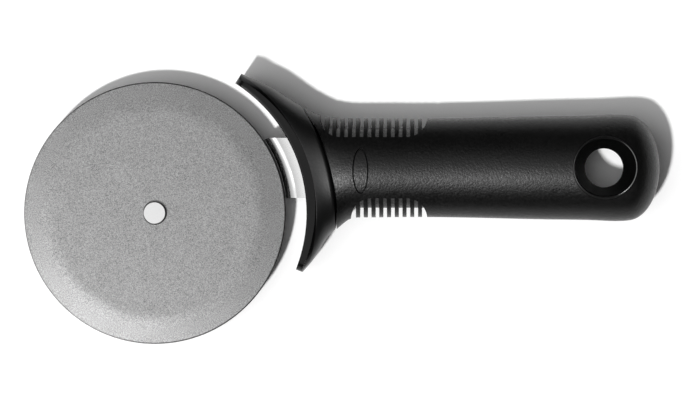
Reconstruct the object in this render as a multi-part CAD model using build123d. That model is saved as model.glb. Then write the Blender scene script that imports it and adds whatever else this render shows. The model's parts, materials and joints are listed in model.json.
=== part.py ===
"""Pizza cutter wheel: a steel wheel on a cast arm, with a guard and a soft finned grip.

The wheel's centre is the modelling origin. X runs along the handle, Y across it and Z along
the axle. The wheel, the guard and the handle share one middle plane, Z = 0. At the end the
whole tool is moved so that it lies on the plane Z = 0 with its origin under the middle.
"""
from build123d import *
import math
import os

# Wheel, in millimetres like every length here
wheel_diameter = 101.6
wheel_thickness = 1.2
wheel_bevel_width = 10.4
wheel_bevel_edge = 0.45
wheel_bevel_blend = 90.0
wheel_edge_width = 0.45
wheel_edge = 0.12
wheel_bore = 7.2

# Axle, bush and washers
axle_diameter = 5.0
axle_head_diameter = 9.3
axle_head_height = 1.6
axle_head_bevel = 0.55
axle_tail_diameter = 8.0
axle_tail_height = 1.3
running_clearance = 0.05
end_play = 0.1
bush_proud = 0.15
bush_flange_diameter = 13.0
bush_flange_thickness = 1.2
thrust_washer_diameter = 12.6
thrust_washer_thickness = 0.8
axle_washer_diameter = 11.0
axle_washer_thickness = 0.8

# Arm: a boss behind the wheel, an arm, a neck and a tang
arm_boss_diameter = 16.0
arm_end_diameter = 21.0
arm_thickness = 5.0
arm_wheel_gap = 3.0
arm_back_boss_height = 0.8
arm_edge_round = 1.6
neck_width = 23.3
neck_wheel_drop = 0.4
neck_band_width = 3.7
neck_front_round = 4.5
neck_depth = 2.8
tang_width = 14.0
tang_thickness = 5.0
tang_length = 64.0
tang_hole_diameter = 5.0
tang_end_round = 3.0
tang_top_step = 0.8

# Guard: a shield concentric with the wheel, and a flare behind it
guard_gap = 8.4
guard_depth = 11.2
guard_height = 26.5
guard_upper_angle = 57.8
guard_lower_angle = -21.6
guard_corner_radius = 5.5
guard_rim_middle = 3.7
guard_rim_tip = 2.3
guard_rim_round = 0.7
guard_rim_height = 25.2
guard_back_round = 1.6
guard_lip = 0.35
parting_groove = 0.5
spigot_depth = 4.2

# Handle form: a row of ellipses, leaning at the flare and upright behind it
handle_offset = 17.5
handle_length = 125.2
handle_waist_width = 38.2
handle_waist_thickness = 28.6
handle_butt_width = 40.9
handle_butt_thickness = 32.0
butt_length = 12.8
flare_width = 80.1
flare_lean = 17.5
flare_drop = 2.45

# Side pockets with fins
fin_pitch = 3.0
fin_thickness = 1.55
last_fin_distance = 32.5
first_fin_lead = 4.0
lower_fin_delay = 12.0
pocket_end_margin = 2.0
pocket_depth = 3.6
pocket_reach = 7.3
pocket_corner = 8.0

# Oval outline on the grip's upper face, left bare
oval_lead = 9.6
oval_drop = 1.3
oval_length = 16.9
oval_width = 5.7
oval_groove_width = 0.5
oval_groove_depth = 0.4

# Hanging hole
hole_butt_distance = 21.5
hole_throat_diameter = 15.1
hole_throat_length = 6.5
hole_mouth_diameter = 24.0
hole_mouth_round = 0.4
hole_ring_width = 0.6

# Grip and core walls
grip_side_wall = 5.4
grip_face_wall = 2.4
grip_end_wall = 3.0
core_wall = 2.0
core_front_gap = 0.3
rib_thickness = 1.6
pin_diameter = 4.9
pin_length = 20.0
pin_boss_diameter = 9.0
slip_clearance = 0.15

# One overrun serves every cut, and every section has as many points
overrun = 5.0
section_points = 16

# Shares, chosen by hand
# Flare: station of the guard depth, width of the swell, thickness, fullness, lean, drop
flare_shares = (
    (-1.58, 1.141, 0.93, 5.0, 1.00, 1.50),
    (-1.20, 1.000, 0.93, 5.0, 0.96, 1.00),
    (-0.83, 0.850, 0.93, 4.6, 1.00, 0.57),
    (-0.43, 0.673, 0.93, 4.0, 0.97, 0.14),
    (0.07, 0.415, 0.92, 3.1, 0.90, 0.00),
    (0.37, 0.291, 0.92, 2.6, 0.87, 0.00),
    (0.72, 0.158, 0.94, 2.3, 0.87, 0.00),
    (1.07, 0.062, 0.97, 2.1, 0.70, 0.00),
    (1.86, 0.010, 1.00, 2.0, 0.30, 0.00),
)
# Grip: station between the collar and the butt, swell from the waist to the butt
grip_shares = ((0.20, 0.00), (0.36, 0.02), (0.55, 0.32), (0.75, 0.68), (0.90, 0.93), (1.00, 1.00))
tang_pin_shares = (0.35, 0.80)
rib_shares = (0.28, 0.68)
# Turns of the butt's rounding, in degrees, each with its own ellipse
butt_angles = (15, 30, 45, 60, 72, 81, 86.5)

# Derived places
wheel_radius = wheel_diameter / 2
guard_radius = wheel_radius + guard_gap
collar_radius = guard_radius + guard_depth
groove_radius = collar_radius + parting_groove
spigot_radius = groove_radius + spigot_depth
core_radius = spigot_radius + core_front_gap
handle_reach = collar_radius + handle_length
butt_start = handle_reach - butt_length
hole_distance = handle_reach - hole_butt_distance
last_fin = collar_radius + last_fin_distance
hole_ring_radius = hole_mouth_diameter / 2 + hole_ring_width
tall = 2 * guard_height
wide = handle_reach

bush_front = wheel_thickness / 2 + bush_proud
bush_back = -wheel_thickness / 2 - bush_flange_thickness
washer_front = bush_back - end_play
boss_front = washer_front - thrust_washer_thickness
arm_front = -wheel_thickness / 2 - arm_wheel_gap
arm_back = arm_front - arm_thickness
boss_back = arm_back - arm_back_boss_height
tail_front = boss_back - axle_washer_thickness
neck_front = -neck_wheel_drop
neck_start = wheel_radius - neck_front_round
neck_end = guard_radius + neck_depth
tang_front = neck_front - tang_top_step
tang_back = tang_front - tang_thickness
tang_start = guard_radius
tang_end = neck_end + tang_length
tang_pin_places = [neck_end + share * tang_length for share in tang_pin_shares]
rib_room = hole_distance - hole_ring_radius - tang_end
rib_places = [tang_end + share * rib_room for share in rib_shares]


def disc(radius, low, high):
    """A round plate about the axle from one height to another."""
    return Pos(0, 0, (low + high) / 2) * Cylinder(radius, high - low)


def ring(inner, outer, low, high):
    """A washer about the axle."""
    return disc(outer, low, high) - disc(inner, low - overrun, high + overrun)


def turned(*points):
    """A solid turned about the axle from points of radius and height."""
    outline = Polyline(*[(radius, 0, height) for radius, height in points], close=True)
    return revolve(make_face(outline), Axis.Z)


def axis_distance(edge, x, y):
    """How far an edge's middle is from an upright axis."""
    middle = edge.center()
    return math.hypot(middle.X - x, middle.Y - y)


def section(distance, offset, lean, half_width, half_thickness, fullness=2):
    """A closed curve across the handle, leaning in plan: an ellipse, or fuller towards a box."""
    lean = math.radians(lean)
    points = []
    for index in range(section_points):
        turn = 2 * math.pi * index / section_points
        across = math.copysign(abs(math.cos(turn)) ** (2 / fullness), math.cos(turn))
        up = math.copysign(abs(math.sin(turn)) ** (2 / fullness), math.sin(turn))
        points.append((half_width * across, half_thickness * up))
    plane = Plane(
        origin=(distance, offset, 0),
        x_dir=(-math.sin(lean), math.cos(lean), 0),
        z_dir=(math.cos(lean), math.sin(lean), 0),
    )
    return (plane * make_face(Spline(*points, periodic=True))).face()


def handle_form(side_inset=0, face_inset=0, end_inset=0):
    """The styled outer body from the shield's tips to the butt, set in by three walls."""
    waist_width = handle_waist_width / 2
    waist_depth = handle_waist_thickness / 2
    butt_width = handle_butt_width / 2
    butt_depth = handle_butt_thickness / 2
    sections = []
    for station, swell, depth, fullness, lean, drop in flare_shares:
        half_width = waist_width + swell * (flare_width / 2 - waist_width)
        flare_section = section(
            guard_radius + station * guard_depth,
            handle_offset - drop * flare_drop,
            lean * flare_lean,
            half_width - side_inset,
            depth * waist_depth - face_inset,
            fullness,
        )
        sections.append(flare_section)
    for station, swell in grip_shares:
        grip_section = section(
            collar_radius + station * (butt_start - collar_radius),
            handle_offset,
            0,
            waist_width + swell * (butt_width - waist_width) - side_inset,
            waist_depth + swell * (butt_depth - waist_depth) - face_inset,
        )
        sections.append(grip_section)
    for angle in butt_angles:
        along = math.sin(math.radians(angle))
        across = math.cos(math.radians(angle))
        butt_section = section(
            butt_start + along * (butt_length - end_inset),
            handle_offset,
            0,
            across * (butt_width - side_inset),
            across * (butt_depth - face_inset),
        )
        sections.append(butt_section)
    return loft(sections)


def cutting_wheel():
    """Stamped disc, ground on both faces to a thin edge."""
    half = wheel_thickness / 2
    bevel_radius = wheel_radius - wheel_bevel_width
    edge_radius = wheel_radius - wheel_edge_width
    face = make_face(
        Polyline(
            (wheel_bore / 2, 0, -half),
            (bevel_radius, 0, -half),
            (edge_radius, 0, -wheel_bevel_edge / 2),
            (wheel_radius, 0, -wheel_edge / 2),
            (wheel_radius, 0, wheel_edge / 2),
            (edge_radius, 0, wheel_bevel_edge / 2),
            (bevel_radius, 0, half),
            (wheel_bore / 2, 0, half),
            close=True,
        )
    )
    bends = face.vertices().filter_by(lambda v: abs(v.X - bevel_radius) < wheel_edge)
    return revolve(fillet(bends, wheel_bevel_blend), Axis.Z)


def wheel_bush():
    """Bush with a back flange, pressed into the wheel and running on the pin."""
    barrel = wheel_bore / 2
    bore = axle_diameter / 2 + running_clearance
    return ring(bore, barrel, bush_back, bush_front) + ring(
        bore, bush_flange_diameter / 2, bush_back, -wheel_thickness / 2
    )


def axle_pin():
    """Rivet with a bevelled flat head in front and a closed tail behind."""
    head = axle_head_diameter / 2
    shaft = axle_diameter / 2
    tail = axle_tail_diameter / 2
    head_back = bush_front + end_play
    head_front = head_back + axle_head_height
    tail_back = tail_front - axle_tail_height
    return turned(
        (0, head_front),
        (head - axle_head_bevel, head_front),
        (head, head_front - axle_head_bevel),
        (head, head_back),
        (shaft, head_back),
        (shaft, tail_front),
        (tail, tail_front),
        (tail - axle_head_bevel, tail_back),
        (0, tail_back),
    )


def thrust_washer():
    """Low friction washer on the arm's boss."""
    bore = axle_diameter / 2 + running_clearance
    return ring(bore, thrust_washer_diameter / 2, boss_front, washer_front)


def axle_washer():
    """Steel washer under the pin's closed tail."""
    bore = axle_diameter / 2 + running_clearance
    return ring(bore, axle_washer_diameter / 2, tail_front, boss_back)


def arm():
    """Die casting: boss, arm behind the wheel, stepped neck and tang."""
    block = Pos(neck_start, handle_offset, 0) * Rectangle(neck_front_round, neck_width)
    plan = make_hull(block.edges() + Circle(arm_end_diameter / 2).edges())
    plan += Pos((neck_start + neck_end) / 2, handle_offset, 0) * Rectangle(
        neck_end - neck_start, neck_width
    )
    body = extrude(Pos(0, 0, arm_back) * plan, neck_front - arm_back)
    crest = guard_radius - neck_band_width
    front = neck_front + overrun
    foot_turn = math.acos(1 - (neck_front - arm_front) / neck_front_round)
    arc = [
        (crest - neck_front_round * math.sin(turn), 0, neck_front - neck_front_round * (1 - math.cos(turn)))
        for turn in (foot_turn, foot_turn / 2, 0)
    ]
    border = Polyline(arc[2], (crest, 0, front), (0, 0, front), (0, 0, arm_front), arc[0])
    hollow = make_face([ThreePointArc(*arc), border])
    body -= revolve(hollow, Axis.Z)
    body = fillet(body.faces().sort_by(Axis.Z)[0].outer_wire().edges(), arm_edge_round)
    body += disc(arm_boss_diameter / 2, boss_back, boss_front)
    tang = Pos((tang_start + tang_end) / 2, handle_offset, (tang_front + tang_back) / 2) * Box(
        tang_end - tang_start, tang_width, tang_thickness
    )
    tang = fillet(tang.edges().filter_by(Axis.Z).sort_by(Axis.X)[-2:], tang_end_round)
    body += tang
    body -= disc(axle_diameter / 2 + running_clearance, boss_back - overrun, boss_front + overrun)
    for place in tang_pin_places:
        body -= Pos(place, handle_offset, 0) * Cylinder(tang_hole_diameter / 2, tall)
    return body


def tongue():
    """The shield's rounded outline seen from the wheel, swept about the axle."""
    half = guard_height / 2
    depth = guard_depth + overrun
    profile = Pos(guard_radius + depth / 2, 0, 0) * Rectangle(depth, guard_height)
    face = Plane.XZ * profile
    sweep = guard_upper_angle - guard_lower_angle
    solid = Rot(0, 0, guard_lower_angle) * revolve(face, Axis.Z, revolution_arc=sweep)
    corners = [
        edge
        for edge in solid.edges().filter_by(GeomType.LINE)
        if abs(abs(edge.center().Z) - half) < guard_rim_round and edge.length > guard_depth
    ]
    return fillet(corners, guard_corner_radius)


def neck_passage(clearance):
    """The space of the neck and the tang, widened by a clearance."""
    low = arm_back - clearance
    high = neck_front + clearance
    neck = Pos((neck_start + neck_end + clearance) / 2, handle_offset, (low + high) / 2) * Box(
        neck_end + clearance - neck_start, neck_width + 2 * clearance, high - low
    )
    tang = Pos((tang_start + tang_end) / 2, handle_offset, (tang_front + tang_back) / 2) * Box(
        tang_end - tang_start + 2 * clearance,
        tang_width + 2 * clearance,
        tang_thickness + 2 * clearance,
    )
    return neck + tang


def guard():
    """Hard shield concentric with the wheel, its flare and a spigot into the grip."""
    middle_angle = math.radians((guard_upper_angle + guard_lower_angle) / 2)
    half_span = math.radians((guard_upper_angle - guard_lower_angle) / 2)
    back_shift = (guard_rim_middle - guard_rim_tip) / (1 - math.cos(half_span))
    back_radius = guard_radius + guard_rim_middle - back_shift
    back = Pos(back_shift * math.cos(middle_angle), back_shift * math.sin(middle_angle), 0)
    flare = handle_form(guard_lip, guard_lip) & Cylinder(collar_radius, tall)
    collar = flare.edges().filter_by(
        lambda edge: abs(axis_distance(edge, 0, 0) - collar_radius) < guard_lip
    )
    flare = fillet(collar, guard_back_round) - back * Cylinder(back_radius, tall)
    body = tongue() & (flare + back * Cylinder(back_radius, guard_rim_height))
    body -= Cylinder(guard_radius, tall)
    rims = body.faces().filter_by(GeomType.PLANE).filter_by(Axis.Z).edges()
    rims = rims.filter_by(GeomType.CIRCLE)
    inner = rims.filter_by(lambda edge: abs(edge.radius - guard_radius) < guard_lip)
    body = fillet(inner, guard_rim_round)
    spigot = handle_form(grip_side_wall, grip_face_wall)
    spigot = spigot & (Cylinder(spigot_radius, tall) - Cylinder(guard_radius + guard_rim_middle, tall))
    return body + spigot - neck_passage(slip_clearance)


def pocket(side, fin_run):
    """The slots between the fins on one side of the grip, as one cutter."""
    fin_count = round(fin_run / fin_pitch) + 1
    first_fin = last_fin - (fin_count - 1) * fin_pitch
    edge = handle_waist_width / 2 - pocket_reach
    floor_chord = handle_waist_thickness / 2 * math.sqrt(1 - (2 * edge / handle_waist_width) ** 2)
    floor_rise = pocket_reach - pocket_depth
    floor_radius = (floor_chord**2 + floor_rise**2) / (2 * floor_rise)
    floor_centre = edge + floor_rise - floor_radius
    start = first_fin - fin_thickness / 2 - pocket_end_margin
    end = last_fin + fin_thickness / 2 + pocket_end_margin
    length = end - start
    depth = pocket_reach + overrun
    outline = Rectangle(length, depth)
    inner = outline.vertices().sort_by(Axis.Y)[:2]
    outline = fillet(inner, pocket_corner)
    cutter = extrude(outline, handle_butt_thickness, both=True)
    cutter = Pos((start + end) / 2, edge + depth / 2, 0) * cutter
    floor = Pos((start + end) / 2, floor_centre, 0) * Rot(0, 90, 0) * Cylinder(floor_radius, 2 * length)
    cutter -= floor
    for index in range(fin_count):
        place = first_fin + index * fin_pitch
        cutter -= Pos(place, edge + depth / 2, 0) * Box(fin_thickness, 2 * depth, 2 * tall)
    if side < 0:
        cutter = mirror(cutter, Plane.XZ)
    return Pos(0, handle_offset, 0) * cutter


def oval_groove():
    """A fine oval groove across the grip's upper face, as deep everywhere as its depth."""
    half = oval_groove_width / 2
    outer = Ellipse(oval_width / 2 + half, oval_length / 2 + half)
    inner = Ellipse(oval_width / 2 - half, oval_length / 2 - half)
    place = Pos(collar_radius + oval_lead, handle_offset - oval_drop, 0)
    tube = extrude(place * (outer - inner), tall)
    return tube - handle_form(oval_groove_depth, oval_groove_depth)


def soft_grip():
    """Over-moulded grip around the core, with finned pockets and the hole's opening."""
    body = handle_form() - Cylinder(groove_radius, tall)
    body -= handle_form(grip_side_wall, grip_face_wall, grip_end_wall)
    body -= Pos(hole_distance, handle_offset, 0) * Cylinder(hole_ring_radius, tall)
    upper_run = last_fin_distance + first_fin_lead
    body -= pocket(1, upper_run)
    body -= pocket(-1, upper_run - lower_fin_delay)
    return body - oval_groove()


def hole_cutter():
    """The hanging hole: a throat between two flared mouths."""
    throat = hole_throat_diameter / 2
    mouth = hole_mouth_diameter / 2
    half_throat = hole_throat_length / 2
    half_handle = handle_butt_thickness / 2
    slope = (mouth - throat) / (half_handle - half_throat)
    top = half_handle + overrun
    wide_mouth = mouth + slope * overrun
    cutter = turned(
        (0, top),
        (wide_mouth, top),
        (throat, half_throat),
        (throat, -half_throat),
        (wide_mouth, -top),
        (0, -top),
    )
    return Pos(hole_distance, handle_offset, 0) * cutter


def core():
    """Hollow hard core with ribs, pin bosses and the hanging hole's tube."""
    outside = handle_form(grip_side_wall, grip_face_wall, grip_end_wall)
    inside = handle_form(
        grip_side_wall + core_wall, grip_face_wall + core_wall, grip_end_wall + core_wall
    )
    front = Cylinder(core_radius, tall)
    body = outside - inside
    ribs = Cylinder(core_radius + core_wall, tall)
    for place in tang_pin_places + rib_places:
        ribs += Pos(place, handle_offset, 0) * Box(rib_thickness, wide, tall)
    for place in tang_pin_places:
        ribs += Pos(place, handle_offset, 0) * Cylinder(pin_boss_diameter / 2, tall)
    body += ribs & inside
    tube = Pos(hole_distance, handle_offset, 0) * Cylinder(hole_ring_radius, tall)
    body += tube & handle_form()
    body -= front
    body -= hole_cutter()
    mouths = body.edges().filter_by(
        lambda edge: edge.is_closed
        and abs(axis_distance(edge, hole_distance, handle_offset) - hole_mouth_diameter / 2)
        < hole_ring_width / 2
    )
    body = fillet(mouths, hole_mouth_round)
    body -= neck_passage(slip_clearance)
    for place in tang_pin_places:
        body -= Pos(place, handle_offset, 0) * Cylinder(pin_diameter / 2, pin_length)
    return body


def core_half(whole, side):
    """The core on one side of the middle plane."""
    return whole & Pos(0, 0, side * tall / 2) * Box(2 * (wide + tall), 2 * (wide + tall), tall)


def tang_pins():
    """Two pins through the core's bosses and the tang."""
    pins = []
    for place in tang_pin_places:
        pins.append(Pos(place, handle_offset, 0) * Cylinder(pin_diameter / 2, pin_length))
    return Compound(children=pins)


whole_core = core()
pieces = {
    "cutting_wheel": cutting_wheel(),
    "wheel_bush": wheel_bush(),
    "axle_pin": axle_pin(),
    "thrust_washer": thrust_washer(),
    "axle_washer": axle_washer(),
    "arm": arm(),
    "guard": guard(),
    "soft_grip": soft_grip(),
    "core_upper": core_half(whole_core, 1),
    "core_lower": core_half(whole_core, -1),
    "tang_pins": tang_pins(),
}

bounds = Compound([solid for piece in pieces.values() for solid in piece.solids()]).bounding_box()
seat = Pos(-bounds.center().X, -bounds.center().Y, -bounds.min.Z)
os.makedirs("parts", exist_ok=True)
for name, piece in pieces.items():
    export_step(seat * Compound(piece.solids()), f"parts/{name}.step")
print("wheel centre", seat.position.X, seat.position.Y, seat.position.Z)
hole = seat.position + Vector(hole_distance, handle_offset, 0)
print("hanging hole", hole.X, hole.Y, hole.Z)
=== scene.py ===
"""Pizza cutter wheel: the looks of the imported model, its pale floor, its lamp and its camera.

Everything is in metres, in the row frame: X along the handle, Y across it, Z up along the axle.
"""
import bpy
import json
import math
from mathutils import Matrix, Vector

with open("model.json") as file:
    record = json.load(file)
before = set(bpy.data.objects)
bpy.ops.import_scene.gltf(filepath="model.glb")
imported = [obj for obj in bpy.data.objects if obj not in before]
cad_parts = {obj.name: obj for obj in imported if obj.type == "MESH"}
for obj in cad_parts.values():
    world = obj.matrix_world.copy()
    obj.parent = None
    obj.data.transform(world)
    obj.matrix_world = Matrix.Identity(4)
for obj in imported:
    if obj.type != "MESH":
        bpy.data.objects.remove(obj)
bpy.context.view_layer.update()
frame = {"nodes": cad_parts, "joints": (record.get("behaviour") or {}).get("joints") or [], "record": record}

MM = 0.001

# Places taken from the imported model
spin = frame["joints"][0]
WHEEL_CENTRE = Vector(spin["pos_m"])
HOLE_CENTRE = Vector(frame["record"]["mounts"][0]["pos_m"])
# The oval groove on the grip's upper face. Its reach along Z keeps it off the lower face
OVAL_CENTRE = WHEEL_CENTRE + Vector((80.0 * MM, 16.2 * MM, 13.5 * MM))
OVAL_REACH = (2.85 * MM, 8.45 * MM, 10 * MM)
GROOVE_SIDE = 0.28 * MM
# Distances from the wheel's axle at which a finish, a painted shade or a painted highlight starts to change
# and has changed
# Painted shade: inside this reach, beside the wheel's edge, the casting's colour is darkened
PAINTED_SHADE_REACH = (50.9 * MM, 51.4 * MM)
# Painted highlight: across this reach the casting's colour rises from darker on the slope by the wheel to
# lighter next to the guard
NECK_PAINTED_SHEEN = (54.0 * MM, 60.0 * MM)
FLARE_TEXTURE = (63.0 * MM, 63.2 * MM)
# The polished round of the hanging hole's mouth: where it starts and where it ends
MOUTH_INSIDE = (11.6 * MM, 11.8 * MM)
MOUTH_OUTSIDE = (12.2 * MM, 12.4 * MM)
# Between these values lies nearly all of a noise
NOISE_SPAN = (0.3, 0.7)
# The skin of the rubber and of the guard's flare: the size of its grains and their noise
SKIN = (0.85 * MM, 3.0, 0.7)

# The tool lies on its butt and its guard, so the table leans a little against the row's frame.
# Places on the table are measured from the wheel's centre
TABLE_LEAN = math.radians(1.0)
TABLE_DROP = 12.9 * MM
TABLE = Matrix.Translation(WHEEL_CENTRE) @ Matrix.Rotation(TABLE_LEAN, 4, "Y")

# The camera stands above the tool and looks straight down at the table
CAMERA_PLACE = (75.74 * MM, 5.04 * MM, 1.644)
VIEW_WIDTH = 271.6 * MM
SENSOR_MM = 36.0
# One lamp gives the shadow and the shine
LAMP_PLACE = (-0.98, -1.365, 3.5)
LAMP_SIZE = 0.26
LAMP_POWER = 138.0
# The room glows in an oval overhead, given as the level part of the directions to it
GLOW_CENTRE = (-0.45, 0.0, 0)
GLOW_REACH = (0.75, 0.60)
GLOW_CORE = 0.5
GLOW_STRENGTH = 1.40
ROOM_STRENGTH = 0.05
# Half of the table's side
TABLE_HALF = 4.0


class Value:
    """A number that changes over a surface. Python's operators on it add Math nodes."""

    def __init__(self, nodes, socket):
        self.nodes = nodes
        self.socket = socket

    def math(self, operation, *others):
        return self.nodes.node("Math", {"operation": operation}, *others)

    def __add__(self, other):
        return self.math("ADD", self, other)

    def __sub__(self, other):
        return self.math("SUBTRACT", self, other)

    def __mul__(self, other):
        return self.math("MULTIPLY", self, other)

    def __truediv__(self, other):
        return self.math("DIVIDE", self, other)

    def __rsub__(self, other):
        return self.math("SUBTRACT", other, self)

    __radd__ = __add__
    __rmul__ = __mul__


class Nodes:
    """The nodes of one tree, made and linked by plain calls."""

    def __init__(self, tree):
        self.tree = tree

    def node(self, kind, settings, *inputs, out=0, **named):
        """A node of one kind, its settings first, then the values or links of its sockets."""
        made = self.tree.nodes.new("ShaderNode" + kind)
        for setting, value in settings.items():
            setattr(made, setting, value)
        for key, value in [*enumerate(inputs), *named.items()]:
            self.feed(made.inputs[key], value)
        return Value(self, made.outputs[out])

    def feed(self, socket, value):
        if isinstance(value, Value):
            self.tree.links.new(value.socket, socket)
        else:
            socket.default_value = value

    def place(self, kind="Object"):
        return self.node("TexCoord", {}, out=kind)

    def noise(self, place, size, detail=2.0, roughness=0.5):
        """Soft noise whose patches are about as wide as size."""
        sockets = {"Vector": place, "Scale": 1 / size, "Detail": detail, "Roughness": roughness}
        return self.node("TexNoise", {}, out="Fac", **sockets)

    def fade(self, value, low, high, first=0.0, last=1.0):
        """A smooth step from first to last as value goes from low to high."""
        settings = {"interpolation_type": "SMOOTHSTEP"}
        return self.node("MapRange", settings, value, low, high, first, last)

    def blend(self, share, first, last):
        """A colour between two colours."""
        made = self.tree.nodes.new("ShaderNodeMix")
        made.data_type = "RGBA"
        self.feed(made.inputs[0], share)
        self.feed(made.inputs[6], first)
        self.feed(made.inputs[7], last)
        return Value(self, made.outputs[2])

    def vector(self, operation, *inputs, out=0):
        return self.node("VectorMath", {"operation": operation}, *inputs, out=out)

    def reach(self, place, centre, scale=(1, 1, 0)):
        """The distance from a centre, each axis scaled; by default that from an upright axis."""
        away = self.vector("SUBTRACT", place, centre)
        return self.vector("LENGTH", self.vector("MULTIPLY", away, scale), out="Value")


class Finish(Nodes):
    """One material: a Principled shader and the nodes that feed it."""

    def __init__(self, name, constants=()):
        self.material = bpy.data.materials.new(name)
        self.material.use_nodes = True
        super().__init__(self.material.node_tree)
        self.tree.nodes.clear()
        self.shader = self.tree.nodes.new("ShaderNodeBsdfPrincipled")
        output = self.tree.nodes.new("ShaderNodeOutputMaterial")
        self.tree.links.new(self.shader.outputs["BSDF"], output.inputs["Surface"])
        for socket, value in dict(constants).items():
            self.shader.inputs[socket].default_value = value

    def colour(self, value):
        self.feed(self.shader.inputs["Base Color"], value)

    def roughness(self, value):
        self.feed(self.shader.inputs["Roughness"], value)

    def coat(self, value):
        self.feed(self.shader.inputs["Coat Weight"], value)

    def bump(self, height, distance):
        normal = self.node("Bump", {}, Height=height, Distance=distance)
        self.feed(self.shader.inputs["Normal"], normal)


def grey(level):
    return (level, level, level, 1.0)


def blasted_steel():
    """Stainless sheet with a fine bead blasted face."""
    steel = Finish("blasted_steel", {"Metallic": 1.0})
    place = steel.place()
    grain = steel.noise(place, 0.38 * MM, detail=2.0, roughness=0.8)
    cloud = steel.noise(place, 9 * MM)
    steel.colour(steel.fade(grain, *NOISE_SPAN, 0.105, 0.265) + 0.02 * cloud)
    steel.roughness(0.25 + 0.03 * cloud + 0.04 * grain)
    steel.bump(grain, 0.025 * MM)
    return steel.material


def turned_steel():
    """Bright turned steel with a faint grain."""
    steel = Finish("turned_steel", {"Metallic": 1.0})
    place = steel.place()
    grain = steel.noise(place, 0.3 * MM)
    steel.colour(steel.blend(grain, grey(0.37), grey(0.44)))
    steel.roughness(0.28 + 0.08 * grain)
    steel.bump(grain, 0.004 * MM)
    return steel.material


def satin_casting():
    """Polished die casting, its colour painted lighter towards the guard as a painted highlight and darkened
    close to the wheel as painted shade.
    """
    casting = Finish("satin_casting", {"Metallic": 1.0})
    place = casting.place()
    grain = casting.noise(place, 0.5 * MM)
    cloud = casting.noise(place, 6 * MM)
    radius = casting.reach(place, WHEEL_CENTRE)
    # Painted shade: the colour falls to a tenth beside the wheel's edge, where the wheel shades the arm
    unshaded = casting.fade(radius, *PAINTED_SHADE_REACH, 0.1, 1.0)
    # Painted highlight: the colour is darker on the slope by the wheel and lighter towards the guard
    painted_sheen = casting.fade(radius, *NECK_PAINTED_SHEEN, 0.30, 0.54)
    casting.colour(unshaded * (painted_sheen + 0.06 * cloud))
    casting.roughness(0.25 + 0.06 * grain)
    casting.bump(grain, 0.001 * MM)
    return casting.material


def guard_plastic():
    """Hard black plastic: a smooth band next to the wheel, a finely textured flare behind it."""
    plastic = Finish("guard_plastic", {"Specular IOR Level": 0.17, "Coat Roughness": 0.35})
    place = plastic.place()
    grain = plastic.noise(place, *SKIN)
    cloud = plastic.noise(place, 12 * MM)
    textured = plastic.fade(plastic.reach(place, WHEEL_CENTRE), *FLARE_TEXTURE)
    plastic.colour(plastic.blend(cloud, grey(0.0015), grey(0.0025)))
    plastic.roughness(0.22 + 0.04 * cloud + 0.18 * textured)
    plastic.coat(0.38 * textured)
    plastic.bump(grain * (0.1 + 0.9 * textured), 0.10 * MM)
    return plastic.material


def soft_rubber():
    """Matte black over-moulding with a fine leathery skin, and round sides in its oval groove."""
    rubber = Finish("soft_rubber", {"Specular IOR Level": 0.265})
    place = rubber.place()
    grain = rubber.noise(place, *SKIN)
    cloud = rubber.noise(place, 14 * MM)
    rubber.colour(rubber.blend(cloud, grey(0.001), grey(0.002)))
    rubber.roughness(rubber.fade(grain, *NOISE_SPAN, 0.27, 0.43) + 0.03 * cloud)
    # How far beside the oval's line a place lies: the rise over it by the slope of that rise
    oval = rubber.reach(place, OVAL_CENTRE, [1 / half for half in OVAL_REACH])
    slope = rubber.reach(place, OVAL_CENTRE, [1 / half**2 for half in OVAL_REACH])
    beside = (oval - 1) * oval / slope
    groove = rubber.fade(beside.math("ABSOLUTE", beside), 0.0, GROOVE_SIDE)
    rubber.bump(grain + 3.0 * groove, 0.11 * MM)
    return rubber.material


def core_plastic():
    """Dull black core plastic, polished where the hanging hole's mouth is rounded."""
    gloss = {"Specular IOR Level": 0.06, "Coat Roughness": 0.2, "Coat IOR": 1.9}
    plastic = Finish("core_plastic", gloss)
    place = plastic.place()
    cloud = plastic.noise(place, 3 * MM)
    plastic.colour(plastic.blend(cloud, grey(0.001), grey(0.002)))
    radius = plastic.reach(place, HOLE_CENTRE)
    outside = plastic.fade(radius, *MOUTH_OUTSIDE)
    plastic.coat(plastic.fade(radius, *MOUTH_INSIDE) * (1 - outside))
    plastic.roughness(0.55 + 0.06 * cloud)
    plastic.bump(plastic.noise(place, 0.5 * MM), 0.002 * MM)
    return plastic.material


def pale_nylon():
    """Natural nylon of the bush and the thrust washer."""
    nylon = Finish("pale_nylon")
    place = nylon.place()
    cloud = nylon.noise(place, 2 * MM)
    dark, light = (0.68, 0.66, 0.6, 1.0), (0.76, 0.74, 0.68, 1.0)
    nylon.colour(nylon.blend(cloud, dark, light))
    nylon.roughness(0.42 + 0.1 * cloud)
    nylon.bump(nylon.noise(place, 0.3 * MM), 0.004 * MM)
    return nylon.material


def dress(node, material):
    """Gives one CAD node its finish."""
    mesh = frame["nodes"][node].data
    mesh.materials.clear()
    mesh.materials.append(material)


def dress_model():
    steel = turned_steel()
    nylon = pale_nylon()
    dull = core_plastic()
    finishes = {
        "cutting_wheel": blasted_steel(),
        "wheel_bush": nylon,
        "thrust_washer": nylon,
        "axle_pin": steel,
        "axle_washer": steel,
        "tang_pins": steel,
        "arm": satin_casting(),
        "guard": guard_plastic(),
        "soft_grip": soft_rubber(),
        "core_upper": dull,
        "core_lower": dull,
    }
    for node, material in finishes.items():
        dress(node, material)


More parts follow.
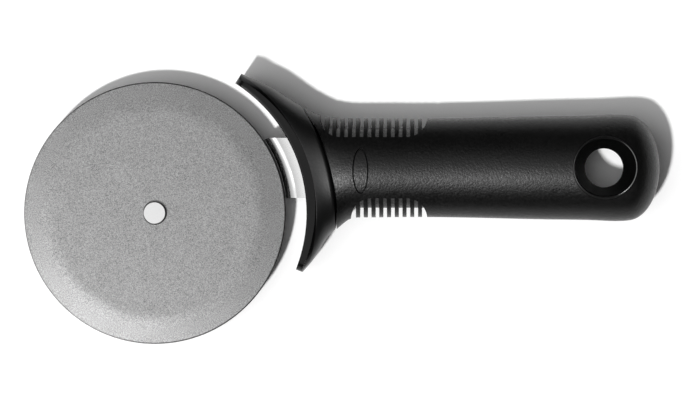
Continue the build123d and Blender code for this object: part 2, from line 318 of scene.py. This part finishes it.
def floor():
    """A wide white table that keeps the tool's shadow."""
    mesh = bpy.data.meshes.new("floor")
    sides = ((-1, -1), (1, -1), (1, 1), (-1, 1))
    corners = [(x * TABLE_HALF, y * TABLE_HALF, 0) for x, y in sides]
    mesh.from_pydata(corners, [], [(0, 1, 2, 3)])
    board = bpy.data.objects.new("floor", mesh)
    board.matrix_world = TABLE @ Matrix.Translation((0, 0, -TABLE_DROP))
    bpy.context.scene.collection.objects.link(board)
    paint = Finish("white_floor", {"Roughness": 1.0, "Specular IOR Level": 0.0})
    cloud = paint.noise(paint.place(), 60 * MM)
    paint.colour(paint.blend(cloud, grey(0.99), grey(1.0)))
    mesh.materials.append(paint.material)


def lamp():
    data = bpy.data.lights.new("lamp", "AREA")
    data.shape = "DISK"
    data.size = LAMP_SIZE
    data.energy = LAMP_POWER
    light = bpy.data.objects.new("lamp", data)
    place = TABLE @ Vector(LAMP_PLACE)
    light.location = place
    light.rotation_euler = (WHEEL_CENTRE - place).to_track_quat("-Z", "Y").to_euler()
    bpy.context.scene.collection.objects.link(light)


def room():
    """A dim room with a soft glow overhead."""
    world = bpy.data.worlds.new("room")
    world.use_nodes = True
    bpy.context.scene.world = world
    nodes = Nodes(world.node_tree)
    back = world.node_tree.nodes["Background"]
    back.inputs["Color"].default_value = grey(1.0)
    scale = (1 / GLOW_REACH[0], 1 / GLOW_REACH[1], 0)
    share = nodes.reach(nodes.place("Generated"), GLOW_CENTRE, scale)
    glow = nodes.fade(share, GLOW_CORE, 1.0, GLOW_STRENGTH, ROOM_STRENGTH)
    nodes.feed(back.inputs["Strength"], glow)


def camera():
    data = bpy.data.cameras.new("camera")
    data.sensor_width = SENSOR_MM
    data.lens = SENSOR_MM * CAMERA_PLACE[2] / VIEW_WIDTH
    view = bpy.data.objects.new("camera", data)
    view.matrix_world = TABLE @ Matrix.Translation(CAMERA_PLACE)
    bpy.context.scene.collection.objects.link(view)
    bpy.context.scene.camera = view


dress_model()
floor()
lamp()
room()
camera()
bpy.context.scene.view_settings.view_transform = "Standard"
